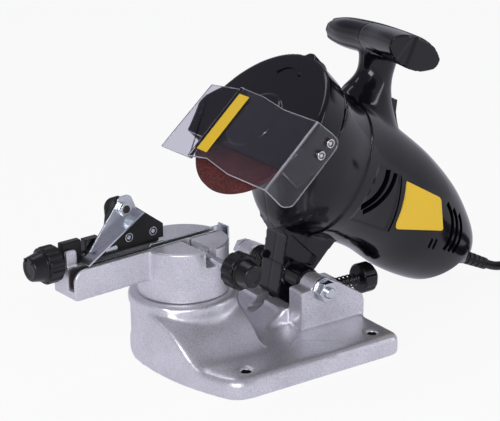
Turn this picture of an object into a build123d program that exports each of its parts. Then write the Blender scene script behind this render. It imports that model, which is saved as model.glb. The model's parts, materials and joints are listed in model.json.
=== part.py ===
from build123d import *
import os
from math import cos, radians, sin

# Electric chainsaw sharpener, millimetres and degrees.
# The model is drawn round the vise axis: x to the right along the bench, y away from the user, z up.
# It is saved round the middle of the two bench holes, on the underside of the base.

# ---- base casting ----
plate_right = 118.0          # right side of the plate, from the vise axis
plate_front = -88.0
plate_back = 50.0
plate_thick = 14.5
plate_edge = 4.5             # rounding round the plate's top
casting_wall = 5.0
pedestal_radius = 36.0
pedestal_top = 46.5
pedestal_deck = 9.0          # thickness of the pedestal's top
ramp_right = 28.0            # right side of the ramp in front of the pedestal
hole_spacing = 102.0         # bench holes
hole_line = -74.0
hole_left = 1.0
bench_hole_radius = 3.25

# ---- pivot between the two lugs ----
pivot_x = 81.5
pivot_z = 41.5
pivot_bolt_radius = 4.0      # M8
lug_inner = 31.0             # half the clear width between the lugs
lug_thick = 15.0
lug_left = 64.6
running_gap = 0.05           # radial play of a shaft in its bore
face_gap = 0.3               # play between faces that move past each other

# ---- vise ----
vise_turn = 6.0              # swivel at rest
table_radius = 31.0
vise_top = 81.0
arm_end = -88.0
arm_front = -5.6
arm_back = 20.0
arm_bottom = vise_top - 20.0
slot_front = -3.2            # long slot that takes the two rails
slot_back = 2.2
slot_floor = vise_top - 14.0
rail_thick = 1.4
rail_rise = 2.0              # how far the fixed rail stands above the turntable
rail_left = -74.0
rail_right = 36.0
rod_x = 0.5
rod_z = vise_top - 5.5
rod_radius = 2.6
rod_slot = 8.0               # width of the slot for the clamp rod
knob_radius = 12.2           # clamp knob and adjusting knob
clamp_knob_y = -54.0         # inner face of the clamp knob

# ---- chain stop ----
screw_y = 9.8                # adjusting screw
screw_z = vise_top + 3.5
screw_radius = 2.5
carriage_front = 6.8
carriage_back = 12.8
carriage_left = -71.0
carriage_right = -14.0
carriage_top = vise_top + 14.0
stop_plate_thick = 2.0
pawl_x = -44.0
pawl_z = vise_top + 30.5
pawl_thick = 1.3
pawl_reach = 10.0            # depth of the pawl's flange over the chain slot

# ---- grinding head ----
head_lean = 47.0             # angle of the wheel axis below the horizontal
wheel_x = 64.0
wheel_z = 147.3
wheel_radius = 54.0          # 108 mm wheel, 3.2 mm thick, 23 mm bore
wheel_thick = 3.2
wheel_bore = 11.5
cover_radius = 60.0
cover_drop = -2.0            # cover centre below the wheel axis
cover_front = -8.0
cover_back = 13.0
cover_wall = 2.5
cover_cut = -25.0            # the cover ends on this line across the wheel
gear_module = 1.0
pinion_teeth = 10
gear_teeth = 47
motor_line = gear_module * (pinion_teeth + gear_teeth) / 2
spindle_radius = 6.0
front_bearing_radius = 14.0
rear_bearing_radius = 11.0
journal_radius = 4.0         # rear end of the spindle, and the armature shaft
stator_radius = 36.0
core_radius = 21.0
air_gap = 0.6
arm_half = 13.0              # half the width of the head's arm
grip_half = 47.0             # half the length of the cross grip
housing_screw_places = ((91.0, 62.0, 10.0), (72.5, 52.0, 13.0), (159.0, 176.0, 11.0), (236.0, 40.0, 22.0))
badge_face = 38.6            # distance of the badge's seat from the middle of the head
guard_face = -10.2           # inner face of the clear guard's raised panel
guard_thick = 1.8
flap_y = -cover_radius - 0.4  # inner face of the guard's side flap
cover_lug = (cover_radius - 7.0, -5.0)  # rounded lug on the cover's rim, up and y
cover_screw_places = ((cover_radius - 0.5, 4.0), (24.0, cover_radius - 4.5))
guard_screw_heights = (-1.0, 9.0)

# ---- depth stop ----
depth_y = -9.0
depth_z = 23.3
depth_radius = 3.0
depth_knob_radius = 11.0
depth_knob_x = plate_right + 23.0
depth_tip = pivot_x + 13.8   # free end of the screw
depth_block = pivot_x + 16.5  # left face of the threaded block

# ---- cord ----
cord_radius = 3.5
cord_z = 3.7                 # height of the cord's middle on the bench

bench_centre = Vector(hole_left + hole_spacing / 2, hole_line, 0)
wheel_centre = Vector(wheel_x, 0, wheel_z)
axis_dir = Vector(cos(radians(head_lean)), 0, -sin(radians(head_lean)))
head_place = Plane(origin=wheel_centre, x_dir=axis_dir, z_dir=(0, -1, 0)).location
vise_place = Location((0, 0, 0), (0, 0, vise_turn))
relief_dir = Vector(0.9, -0.12, -0.42).normalized()
relief_start = Vector(241.5, -6, 19)
low_end = (Align.CENTER, Align.CENTER, Align.MIN)

saved = {}


def save(name, *solids):
    """Keeps a node; several solids become one node of separate pieces."""
    flat = [s for item in solids for s in item.solids()]
    saved[name] = Compound(children=[Solid(s.wrapped) for s in flat]) if len(flat) > 1 else flat[0]


def bar(low, high):
    """Box between two corners."""
    size = [h - l for l, h in zip(low, high)]
    return Pos(*low) * Box(*size, align=(Align.MIN, Align.MIN, Align.MIN))


def turned(axis):
    """Rotation that takes z to x, y or z."""
    return {"x": Rot(0, 90, 0), "y": Rot(-90, 0, 0), "z": Rot(0, 0, 0)}[axis]


def along(axis, start, length, radius):
    """Cylinder from a start point along x, y or z; a negative length runs backwards."""
    shift = Pos(0, 0, min(length, 0))
    return Pos(*start) * turned(axis) * shift * Cylinder(radius, abs(length), align=low_end)


def hexagon(axis, start, length, flats):
    """Hexagonal prism along x, y or z, measured across its flats."""
    prism = extrude(RegularPolygon(flats / 2, 6, major_radius=False), amount=abs(length))
    return Pos(*start) * turned(axis) * Pos(0, 0, min(length, 0)) * prism


def ring(axis, start, length, outer, inner):
    return along(axis, start, length, outer) - along(axis, start, length, inner)


def side_slab(points, low, high):
    """Straight-sided x-z outline extruded between two y values."""
    face = make_face(Plane.XZ * Polyline(*points, close=True))
    return Pos(0, low, 0) * extrude(face, amount=high - low, dir=(0, 1, 0))


def head_rod(start, end, radius, height=0.0):
    """Cylinder between two distances behind the wheel, at a height across the head."""
    return head_place * along("x", (start, height, 0), end - start, radius)


def head_ring(start, end, outer, inner, height=0.0):
    return head_rod(start, end, outer, height) - head_rod(start - 1, end + 1, inner, height)


def head_slab(points, low, high):
    """Outline across the head (behind wheel, up) extruded between two y values."""
    face = make_face(Polyline(*points, close=True))
    return head_place * (Pos(0, 0, -high) * extrude(face, amount=high - low))


def wheel_slab(points, low, high):
    """Outline seen along the wheel axis (up, y) extruded between two distances behind the wheel."""
    outline = Polyline(*[(low, u, -y) for u, y in points], close=True)
    return head_place * extrude(make_face(outline), amount=high - low, dir=(1, 0, 0))


def fluted_knob(radius, length, hub_radius, hub_length, bore, flutes):
    """Moulded knob along z: fluted rim from z = 0, tapered hub beyond it, blind bore from below."""
    knob = Cylinder(radius, length, align=low_end)
    knob = chamfer(knob.edges().filter_by(GeomType.CIRCLE), 1.2)
    cutter = Cylinder(radius * 0.16, length, align=low_end)
    knob -= [Rot(0, 0, 360 * i / flutes) * Pos(radius * 1.06, 0, 0) * cutter for i in range(flutes)]
    hub = Cone(hub_radius * 1.25, hub_radius, hub_length, align=low_end)
    knob += Pos(0, 0, length) * fillet(hub.edges().group_by(Axis.Z)[-1], 1.5)
    return knob - Cylinder(bore, length * 0.8, align=low_end)


def toothed(teeth, width, phase):
    """Spur wheel in the x-y plane with straight-flanked teeth."""
    root = gear_module * (teeth / 2 - 1.3)
    tip = gear_module * (teeth / 2 + 0.95)
    points = []
    for i in range(teeth):
        for share, radius in ((-0.29, root), (-0.12, tip), (0.12, tip), (0.29, root)):
            angle = radians(phase + 360 / teeth * (i + share))
            points.append((radius * cos(angle), radius * sin(angle)))
    return extrude(make_face(Polyline(*points, close=True)), amount=width)


def coil_spring(coil_radius, wire_radius, turns, pitch):
    """Spring of six-sided wire along z from z = 0."""
    path = Helix(pitch, pitch * turns, coil_radius)
    section = Plane(origin=path @ 0, z_dir=path % 0) * RegularPolygon(wire_radius, 6)
    return sweep(section, path, is_frenet=True)


# ---------------------------------------------------------------- base

def plate_outline():
    left = ThreePointArc((-36, -5), (-31.6, -42), (-13.4, plate_front))
    corners = [(-13.4, plate_front), (plate_right, plate_front), (plate_right, plate_back), (0, plate_back)]
    right = Polyline(*corners)
    round_back = ThreePointArc((0, plate_back), (-26, 29), (-36, -5))
    face = make_face(Wire([left, *right.edges(), round_back]))
    for (x, y), radius in zip(corners, (15, 7, 7, 20)):
        face = fillet(face.vertices().sort_by_distance((x, y, 0))[0], radius)
    return face


def lug_outline():
    top = pivot_z + 8.3
    step = pivot_z + 1
    edges = [
        Line((lug_left, 10), (lug_left, step - 2.5)),
        ThreePointArc((lug_left, step - 2.5), (lug_left + 0.8, step - 0.7), (lug_left + 2.6, step)),
        Line((lug_left + 2.6, step), (pivot_x - 8.5, step)),
        ThreePointArc((pivot_x - 8.5, step), (pivot_x - 5.5, pivot_z + 6.2), (pivot_x, top)),
        Line((pivot_x, top), (pivot_x + 4.5, top - 1.2)),
        Line((pivot_x + 4.5, top - 1.2), (pivot_x + 16.5, step - 0.5)),
        Line((pivot_x + 16.5, step - 0.5), (plate_right - 4, 31.8)),
        ThreePointArc((plate_right - 4, 31.8), (plate_right - 1, 29.4), (plate_right, 26)),
        Line((plate_right, 26), (plate_right, 10)),
        Line((plate_right, 10), (lug_left, 10)),
    ]
    return make_face([Plane.XZ * e for e in edges])


def base_casting():
    outline = plate_outline()
    plate = extrude(outline, amount=plate_thick)
    body = fillet(plate.edges().group_by(Axis.Z)[-1], plate_edge)
    body += along("z", (0, 0, 0), pedestal_top, pedestal_radius)
    band = along("z", (0, 0, 39), pedestal_top - 39, pedestal_radius + 1.3)
    body += chamfer(band.edges().group_by(Axis.Z)[0], 1.0)
    profile = Plane.YZ * Polyline((-5, 9), (-5, 40.5), (-18, 40), (-28, 38.6), (-36, 34.5), (-43, 28.5),
                                  (-50, 21.6), (-55, 17.2), (-60, plate_thick), (-66, 9), close=True)
    ramp = Pos(-40, 0, 0) * extrude(make_face(profile), amount=40 + ramp_right, dir=(1, 0, 0))
    body += ramp & extrude(outline, amount=60)
    lug = Pos(0, -lug_inner - lug_thick, 0) * extrude(lug_outline(), amount=lug_thick, dir=(0, 1, 0))
    body += lug
    body += Pos(0, 2 * lug_inner + lug_thick, 0) * lug
    web = bar((60, -lug_inner, 10), (70.2, lug_inner, 26))
    toe = [(38, 10), (38, plate_thick), (44, plate_thick), (60.5, 24), (60.5, 10)]
    web += side_slab(toe, -lug_inner, lug_inner)
    body += web - bar((50, -8, 18), (71, 1, 27))
    block = bar((depth_block, depth_y - 9, 10), (plate_right - 2, depth_y + 9, depth_z + 9))
    body += fillet(block.edges().filter_by(Axis.X).group_by(Axis.Z)[-1], 4)
    return body - base_hollows()


def base_hollows():
    """Open underside, bench holes, and the bores for the vise bolt, pivot and depth screw."""
    deck = extrude(offset(plate_outline(), -casting_wall), amount=plate_thick - casting_wall)
    for i in range(2):
        deck -= along("z", (hole_left + i * hole_spacing, hole_line, 0), plate_thick, 8.5)
    cuts = deck + along("z", (0, 0, 0), pedestal_top - pedestal_deck, pedestal_radius - 6)
    for i in range(2):
        cuts += along("z", (hole_left + i * hole_spacing, hole_line, -1), 30, bench_hole_radius)
    cuts += along("z", (0, 0, 20), 40, pivot_bolt_radius + 0.2)
    cuts += along("y", (pivot_x, -60, pivot_z), 120, pivot_bolt_radius + running_gap)
    block_length = plate_right - depth_block
    return cuts + along("x", (depth_block - 2, depth_y, depth_z), block_length + 4, depth_radius + running_gap)


def pivot_parts():
    outer = lug_inner + lug_thick
    washers = [ring("y", (pivot_x, s * outer, pivot_z), s * 1.6, 8, pivot_bolt_radius) for s in (-1, 1)]
    save("pivot_washers", *washers)
    bolt = along("y", (pivot_x, outer + 1.7, pivot_z), -2 * outer - 13, pivot_bolt_radius)
    bolt = chamfer(bolt.edges().group_by(Axis.Y)[0], 0.8)
    save("pivot_bolt", bolt + hexagon("y", (pivot_x, outer + 1.6, pivot_z), 5.3, 13))
    nut = hexagon("y", (pivot_x, -outer - 1.6, pivot_z), -6.8, 13)
    save("pivot_nut", nut - along("y", (pivot_x, -70, pivot_z), 40, pivot_bolt_radius))
    spring = coil_spring(8.6, 0.7, 6, 2.4)
    save("head_spring", Pos(pivot_x, arm_half + 1.8, pivot_z) * Rot(-90, 0, 0) * spring)


def depth_parts():
    screw = along("x", (depth_tip, depth_y, depth_z), depth_knob_x + 8 - depth_tip, depth_radius)
    save("depth_screw", chamfer(screw.edges().group_by(Axis.X)[0], 0.8))
    knob = fluted_knob(depth_knob_radius, 11, 6, 3.5, depth_radius + running_gap, 6)
    save("depth_knob", Pos(depth_knob_x, depth_y, depth_z) * turned("x") * knob)
    length = depth_knob_x - plate_right + 2 - 1.6
    spring = coil_spring(4.4, 0.6, 6, (length - 1.6) / 6)
    save("depth_spring", Pos(plate_right - 1.2, depth_y, depth_z) * turned("x") * spring)


def vise_lock():
    """Bolt down from the vise, washer and knob under the pedestal's top."""
    deck = pedestal_top - pedestal_deck
    save("lock_bolt", along("z", (0, 0, deck - 10.5), 31, pivot_bolt_radius))
    washer = ring("z", (0, 0, deck - 0.2), -1.6, 11, pivot_bolt_radius + running_gap)
    save("lock_washer", washer)
    knob = fluted_knob(17, 11, 7, 3, pivot_bolt_radius, 8)
    save("lock_knob", Pos(0, 0, deck - 2.0) * Rot(180, 0, 0) * knob)


# ---------------------------------------------------------------- vise

def place_vise(name, *solids):
    save(name, *[vise_place * s for s in solids])


def vise_casting():
    table_bottom = pedestal_top + face_gap
    table = along("z", (0, 0, table_bottom), vise_top - table_bottom, table_radius)
    table = fillet(table.edges().group_by(Axis.Z)[-1], 0.8)
    arm = bar((arm_end, arm_front, arm_bottom), (-15, arm_back, vise_top))
    left = arm.edges().filter_by(Axis.Y).group_by(Axis.X)[0]
    arm = fillet(left.sort_by(Axis.Z)[0], 1.5)
    nose = bar((arm_end - 2, arm_front - 1, vise_top - 8), (arm_end + 8, slot_front + 1, vise_top + 1))
    arm -= nose - along("y", (arm_end + 8, arm_front - 2, vise_top - 8), 12, 8)
    body = table + arm
    for front, back in ((3.4, screw_y - 3.3), (screw_y + 3.3, screw_y + 6.4)):
        prong = bar((arm_end, front, vise_top - 12), (arm_end + 8, back, vise_top + 11))
        body += fillet(prong.edges().filter_by(Axis.Y).group_by(Axis.Z)[-1], 2)
    body -= bar((arm_end - 10, slot_front, slot_floor), (table_radius + 5, slot_back, vise_top + 1))
    body -= bar((rod_x - rod_slot / 2, -50, rod_z - 6), (rod_x + rod_slot / 2, slot_front + 1, vise_top + 1))
    return body - along("z", (0, 0, table_bottom - 1), 14, pivot_bolt_radius)


def rails():
    top = vise_top + rail_rise
    front = slot_back - rail_thick
    outline = [(rail_left, slot_floor), (rail_left, vise_top + 0.4), (-26, vise_top + 0.4), (-25, top),
               (rail_right, top), (rail_right, slot_floor)]
    fixed = side_slab(outline, front, slot_back)
    tab = bar((rail_right - rail_thick, front - 6, top - 15), (rail_right, slot_back + 3.5, top))
    fixed += fillet(tab.edges().filter_by(Axis.X).group_by(Axis.Z)[0], 2)
    place_vise("fixed_rail", fixed)
    back = slot_front + 0.3 + rail_thick
    low = (rail_left, slot_front + 0.3, slot_floor + face_gap)
    place_vise("movable_rail", bar(low, (table_radius - 2, back, vise_top + 0.4)))


def clamp_parts():
    inner = slot_front + 0.3 - face_gap
    rod = along("y", (rod_x, inner, rod_z), clamp_knob_y - 8 - inner, rod_radius)
    place_vise("clamp_rod", rod)
    half = rod_slot / 2
    nut = bar((rod_x - half, -23.7, rod_z - 6), (rod_x + half, -17.3, rod_z + 4.2))
    place_vise("clamp_nut", nut - along("y", (rod_x, -30, rod_z), 20, rod_radius + running_gap))
    knob = fluted_knob(knob_radius, 10.5, 7.4, 10, rod_radius + running_gap, 12)
    place_vise("clamp_knob", Pos(rod_x, clamp_knob_y, rod_z) * Rot(90, 0, 0) * knob)


def above_vise(outline):
    """Turns heights above the vise's top into z."""
    return [(x, vise_top + height) for x, height in outline]


def chain_stop():
    """Block and screw that move the carriage, and the stop plate riveted to it."""
    bore = along("x", (-100, screw_y, screw_z), 90, screw_radius + running_gap)
    block = bar((arm_end, screw_y - 3.1, vise_top), (-74.5, screw_y + 3.1, carriage_top + 1.5))
    block = fillet(block.edges().filter_by(Axis.X).group_by(Axis.Z)[-1], 1.5)
    place_vise("screw_block", block - bore)
    floor = vise_top + face_gap
    carriage = bar((carriage_left, carriage_front, floor), (carriage_right, carriage_back, carriage_top))
    carriage -= bar((-60, carriage_front + 2, carriage_top - 4.5), (-44, carriage_back + 1, carriage_top + 4))
    place_vise("stop_carriage", carriage - bore)
    screw = along("x", (-99, screw_y, screw_z), 69, screw_radius)
    screw += [along("x", (x, screw_y, screw_z), 1.2, 3.2) for x in (-74.2, arm_end - 1.5)]
    place_vise("adjusting_screw", screw)
    knob = fluted_knob(knob_radius, 10.5, 7.8, 9, screw_radius, 12)
    place_vise("adjusting_knob", Pos(arm_end - 4, screw_y, screw_z) * Rot(0, -90, 0) * knob)
    front = carriage_front - stop_plate_thick
    outline = [(-11.7, 3), (-11.7, 12.5), (-33.9, 29.3), (-45, 38.5), (-56.5, 38), (-56, 27), (-60, 3)]
    plate = side_slab(above_vise(outline), front, carriage_front)
    plate = fillet(plate.edges().filter_by(Axis.Y).group_by(Axis.Z)[-2], 6)
    plate = fillet(plate.edges().filter_by(Axis.Y).group_by(Axis.Z)[-1], 3)
    place_vise("stop_plate", plate - along("y", (pawl_x, 0, pawl_z), 20, 2.5))
    place_vise("stop_rivets", *[along("y", (x, front, vise_top + 9.2), -0.9, 3.0) for x in (-39.5, -20.4)])
    pin = along("x", (-60, front - 1.8, vise_top + 5.8), 9, 2.4)
    place_vise("stop_pin", pin & bar((-70, front - 9, vise_top - 1), (-40, front, carriage_top)))


def pawl_parts():
    """Folded pawl: a web beside the stop plate and a flange that reaches over the chain slot."""
    back = carriage_front - stop_plate_thick - face_gap
    front = back - pawl_thick
    outline = [(-48.5, 34.5), (-48, 38.5), (-38, 38.5), (-35.3, 32.5), (-33.2, 27), (-72, 3.8), (-70, 7.5)]
    web = side_slab(above_vise(outline), front, back)
    web = fillet(web.edges().filter_by(Axis.Y).group_by(Axis.Z)[-1], 4)
    start = Vector(-33.2, 0, vise_top + 27)
    slope = Vector(-43.8, 0, -26.2).normalized()
    thick = Vector(slope.Z, 0, -slope.X) * pawl_thick
    corners = [start, start + slope * 51, start + slope * 51 + thick, start + thick]
    flange = side_slab([(p.X, p.Z) for p in corners], back - pawl_reach, back)
    hole = along("y", (pawl_x, -20, pawl_z), 40, 2.5 + running_gap)
    place_vise("pawl", web + flange - hole)
    bolt = along("y", (pawl_x, carriage_front + 1, pawl_z), front - 4.6 - carriage_front - 1, 2.5)
    place_vise("pawl_bolt", bolt + hexagon("y", (pawl_x, carriage_front, pawl_z), 3, 8))
    nut = hexagon("y", (pawl_x, front - 0.1, pawl_z), -4, 8)
    place_vise("pawl_nut", nut - along("y", (pawl_x, -30, pawl_z), 40, 2.5))


# ---------------------------------------------------------------- head housing

def case_loft():
    """Gear case and motor case as one body through oval sections behind the wheel."""
    stations = ((cover_back, -25, cover_radius - 4, cover_radius - 4), (34, -30, 58, 52), (58, -42, 66, 47),
                (92, -27, 72, 43), (125, -15, 76, 41), (160, -9, 75, 39), (190, 2, 68, 33), (206, 15, 61, 24),
                (213, 29, 55, 12))
    sections = []
    for back, low, high, half in stations:
        plane = Plane(origin=(back, (low + high) / 2, 0), x_dir=(0, 1, 0), z_dir=(1, 0, 0))
        sections.append(plane * Ellipse((high - low) / 2, half))
    return head_place * loft(sections)


def neck():
    stations = ((147, 138, 33, 24), (154, 156, 21, 15), (160.5, 170, 13.5, 11.5), (164, 186, 15, 13))
    sections = []
    for x, z, long_half, short_half in stations:
        plane = Plane(origin=(x, 0, z), x_dir=(0.94, 0, -0.34), z_dir=(0.34, 0, 0.94))
        sections.append(plane * Ellipse(long_half, short_half))
    return loft(sections)


def grip():
    """Cross grip: oval sections along y, larger and flatter at the front end."""
    tilt = Vector(cos(radians(-24)), 0, sin(radians(-24)))
    stations = ((-grip_half, 157.3, 194, 23.5, 11), (-28, 158, 195.5, 19.5, 10.8),
                (0, 160.5, 195.5, 15.5, 11), (28, 160.5, 195, 14.5, 10.5), (grip_half - 2, 160.5, 194.5, 11, 8))
    sections = []
    for y, x, z, long_half, short_half in stations:
        plane = Plane(origin=(x, y, z), x_dir=tilt, z_dir=(0, -1, 0))
        sections.append(plane * Ellipse(long_half, short_half))
    body = loft(sections)
    body = fillet(body.edges().group_by(Axis.Y)[-1], 3.5)
    return fillet(body.edges().group_by(Axis.Y)[0], 1.6)


def arm():
    """Arm from the gear case down to the pivot barrel, with a recess in both sides."""
    outline = [(69.5, 97), (71, 79), (76.3, 70), (68.7, 29), (71.5, 24.8), (77, 24.8), (78, 18), (86.5, 18),
               (88.5, 26), (97, 39), (111, 52.4), (128, 66), (112, 100)]
    body = side_slab(outline, -arm_half, arm_half)
    for low, high in ((-arm_half - 1, -arm_half + 3), (arm_half - 3, arm_half + 1)):
        body -= side_slab([(79, 71), (97, 49), (77, 52)], low, high)
    body += along("y", (pivot_x, -lug_inner + face_gap, pivot_z), lug_inner + arm_half - face_gap, 9)
    return body + along("y", (pivot_x, 0, pivot_z), lug_inner - face_gap, 7.4)


def case_hollows():
    """Seats and chambers along the two shafts, and the pivot bore."""
    cuts = head_rod(cover_back - 1, 21, front_bearing_radius) + head_rod(20, 24.5, spindle_radius + 1)
    cuts += head_rod(24, 36, 25.6) + head_rod(35, 42, journal_radius + 1) + head_rod(41, 48, rear_bearing_radius)
    cuts += head_rod(20.5, 44, 8.5, motor_line) + head_rod(43, 51, rear_bearing_radius, motor_line)
    cuts += head_rod(50, 62, 5.5, motor_line) + head_rod(61, 86, 33, motor_line)
    cuts += head_rod(85, 152, stator_radius, motor_line) + head_rod(151, 182, 27, motor_line)
    cuts += head_rod(181, 188, rear_bearing_radius, motor_line)
    return cuts + along("y", (pivot_x, -60, pivot_z), 120, pivot_bolt_radius + running_gap)


def vent_cuts():
    """Curved slots in both sides: two wide ones at the fan, three narrow ones at the rear."""
    arcs = [((78, 33), (82.5, 18), (81, 1), 5.5), ((90, 36), (91.5, 20), (87, 4), 3.5)]
    for i in range(3):
        arcs.append(((145 + 9 * i, 52 + i), (160.6 + 6 * i, 43 + 2 * i), (168 + 5 * i, 26 + 2 * i), 2.8))
    cuts = []
    for start, middle, end, wide in arcs:
        slot = extrude(SlotArc(ThreePointArc(start, middle, end), wide), amount=40)
        cuts += [head_place * Pos(0, 0, 22) * slot, head_place * Pos(0, 0, -62) * slot]
    return cuts


def switch_seat():
    """Centre of the rocker switch on the back of the neck, x outward, z along the rocker."""
    return Plane(origin=(175.0, 0, 139.5), x_dir=(0.984, 0, 0.176), z_dir=(-0.176, 0, 0.984)).location


def housing_parts():
    body = case_loft() + neck() + grip() + arm()
    body -= case_hollows()
    body -= vent_cuts()
    body -= [along("y", (x, surface - 5, z), 60, 2.8) for x, z, surface in housing_screw_places]
    body -= switch_seat() * Pos(-1, 0, 0) * Box(22, 15.4, 27.4)
    body -= head_slab(badge_outline(5), -60, -badge_face)
    relief_bore = Plane(origin=relief_start - relief_dir * 12, z_dir=relief_dir).location
    body -= relief_bore * Cylinder(5.65, 60, align=low_end)
    save("housing_front", body & bar((-50, -200, -50), (400, 0, 400)))
    save("housing_back", body & bar((-50, 0, -50), (400, 200, 400)))


def housing_screws():
    screws = [along("y", (x, surface - 5, z), 2.5, 2.8) for x, z, surface in housing_screw_places]
    save("housing_screws", *screws)


# ---------------------------------------------------------------- wheel cover and guard

def guard_holes():
    """Bores for the two screws through the guard's flap into the cover's rim."""
    place = [head_place * Pos(cover_front + 14, u, cover_radius - 12) for u in guard_screw_heights]
    return [p * Cylinder(1.5, 20, align=low_end) for p in place]


def wheel_cover():
    """Half-open cover: front wall, rim, raised boss, side lobe, rim lug and screw posts."""
    body = head_rod(cover_front, cover_back, cover_radius, cover_drop)
    body = fillet(body.edges().filter_by(GeomType.CIRCLE).sort_by(Axis.X)[0], 2.5)
    lobe = [(14.8, -4.3), (9, 2), (3.7, 6.2), (-3.2, 7.2), (-8.3, 3.6), (-26, -4), (-26, -20), (14, -20)]
    body += wheel_slab([(u, cover_radius + y) for u, y in lobe], cover_front, cover_front + 9)
    body += head_rod(cover_front - 1.9, cover_front + 2, 22)
    body += head_place * along("x", (cover_front + 0.4, cover_lug[0], -cover_lug[1]), 15, 7.2)
    for u, y in cover_screw_places:
        body += head_place * along("x", (cover_back - 4, u, -y), 4, 4.5)
    body -= head_rod(cover_front + cover_wall, cover_back + 1, cover_radius - cover_wall, cover_drop)
    body -= head_rod(cover_front - 0.3, cover_front + 4, 19.5)
    below = [(cover_cut, -90), (cover_cut, 90), (-90, 90), (-90, -90)]
    body -= wheel_slab(below, cover_front - 5, cover_back + 5)
    for u, y in cover_screw_places:
        body -= head_place * along("x", (cover_back - 4, u, -y), -30, 3.0)
    for u in guard_screw_heights:
        body += head_place * Pos(cover_front + 14, u, cover_radius - 4) * Cylinder(3.4, 4.4, align=low_end)
    return body


def clear_guard():
    """Bent sheet: raised panel, lower wing on the left, side flap bent back on the right."""
    outer = guard_face - guard_thick
    body = wheel_slab([(17.8, 32), (16.8, 3), (13, -25), (13, flap_y), (-43, flap_y), (-43.6, -19.5),
                       (-39.4, 11), (-42.8, 32)], outer, guard_face)
    body += wheel_slab([(17.8, 32), (17.8, 30.2), (-42.8, 30.2), (-42.8, 32)], outer, cover_front)
    wing = [(17.8, 30.2), (13.3, cover_radius + 7), (-43.6, cover_radius + 9), (-42.8, 30.2)]
    body += wheel_slab(wing, cover_front - guard_thick, cover_front)
    body += head_slab([(outer, 13), (outer, -43), (8, -43), (14, -38), (14, 11), (11, 15), (4, 15)],
                      flap_y - guard_thick, flap_y)
    return body


def guard_parts():
    holes = guard_holes()
    save("wheel_cover", wheel_cover() - holes)
    save("clear_guard", clear_guard() - holes)
    screws = []
    for u in guard_screw_heights:
        place = head_place * Pos(cover_front + 14, u, guard_thick - flap_y)
        shank = Pos(0, 0, -6) * Cylinder(1.5, 6.5, align=low_end)
        screws.append(place * (Cylinder(3.0, 1.8, align=low_end) + shank))
    save("guard_screws", *screws)
    outer = guard_face - guard_thick
    strip = [(12.5, 27.5), (12.5, 15.5), (-35.5, 15.5), (-35.5, 27.5)]
    save("guard_strip", wheel_slab(strip, outer - 0.3, outer))
    heads = [head_place * along("x", (cover_back - 4, u, -y), -1.6, 2.7) for u, y in cover_screw_places]
    save("cover_screws", *heads)


def badge_outline(margin=0.0):
    return [(96.6 - margin, 38.5), (133.9, 49.9 + margin), (154.8 + margin, 34.8), (116.6, 9.2 - margin)]


def badge_plate():
    save("badge_plate", head_slab(badge_outline(), -badge_face - 0.8, -badge_face))


# ---------------------------------------------------------------- wheel, gears and motor

def spindle_parts():
    half = wheel_thick / 2
    spindle = head_rod(-7.6, 21.5, spindle_radius) + head_rod(21, 47.5, journal_radius)
    save("spindle", spindle)
    save("grinding_wheel", head_ring(-half, half, wheel_radius, wheel_bore))
    inner = head_rod(half, 8, 18) + head_rod(-half + 0.4, half + 0.5, wheel_bore - running_gap)
    save("inner_flange", inner - head_rod(-20, 20, spindle_radius))
    save("outer_flange", head_ring(-half - 2, -half, 18, spindle_radius))
    nut = head_place * Pos(-half - 2, 0, 0) * Rot(0, -90, 0)
    nut = nut * extrude(RegularPolygon(8.5, 6, major_radius=False), amount=3.5)
    save("flange_nut", nut - head_rod(-20, 5, spindle_radius))
    gear = head_place * Pos(26, 0, 0) * turned("x") * toothed(gear_teeth, 8, 90)
    save("spindle_gear", gear - head_rod(20, 40, journal_radius))
    front = head_ring(cover_back, 20.8, front_bearing_radius, spindle_radius)
    save("spindle_bearings", front, head_ring(41, 48, rear_bearing_radius, journal_radius))


def armature():
    shaft = head_rod(36, 187.5, journal_radius, motor_line) + head_rod(22, 37, 3, motor_line)
    pinion = toothed(pinion_teeth, 11, 90 + 180 / pinion_teeth)
    save("armature_shaft", shaft + head_place * Pos(24.5, motor_line, 0) * turned("x") * pinion)
    core = head_ring(96, 148, core_radius, journal_radius, motor_line)
    axis = head_place * Pos(0, motor_line, 0)
    for i in range(12):
        core -= axis * Rot(360 * i / 12, 0, 0) * bar((95, core_radius - 5, -1), (151, core_radius + 1, 1))
    save("armature_core", core)
    save("commutator", head_ring(154, 168, 11, journal_radius, motor_line))
    fan = head_ring(66, 69, 31, journal_radius, motor_line) + head_ring(68.5, 76, 9, journal_radius, motor_line)
    for i in range(16):
        fan += axis * Rot(360 * i / 16, 0, 0) * bar((68.5, 8, -0.8), (81, 30, 0.8))
    save("fan", fan)


def stator():
    """Iron ring round the armature, with a field coil in the window on each side."""
    low, high = motor_line - 15, motor_line + 15
    window = [(80, low), (80, high), (160, high), (160, low)]
    sides = head_slab(window, 5, 40) + head_slab(window, -40, -5)
    iron = head_ring(94, 150, stator_radius, core_radius + air_gap, motor_line)
    save("stator_core", iron - (head_ring(90, 155, 32, core_radius - 1, motor_line) & sides))
    save("field_windings", head_ring(90, 151, 31.7, core_radius + 1.5, motor_line) & sides)
    ends = ((44, 51), (181.2, 188))
    save("motor_bearings", *[head_ring(*e, rear_bearing_radius, journal_radius, motor_line) for e in ends])


def brushes():
    carbons = []
    holders = []
    for turn in (0, 180):
        place = head_place * Pos(161, motor_line, 0) * Rot(turn, 0, 0)
        carbons.append(place * Pos(0, 0, 11.1) * Box(5, 5, 9, align=low_end))
        holder = Box(9, 9, 12.8, align=low_end) - Box(5, 5, 20, align=low_end)
        holders.append(place * Pos(0, 0, 13.5) * holder)
    save("carbon_brushes", *carbons)
    save("brush_holders", *holders)


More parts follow.
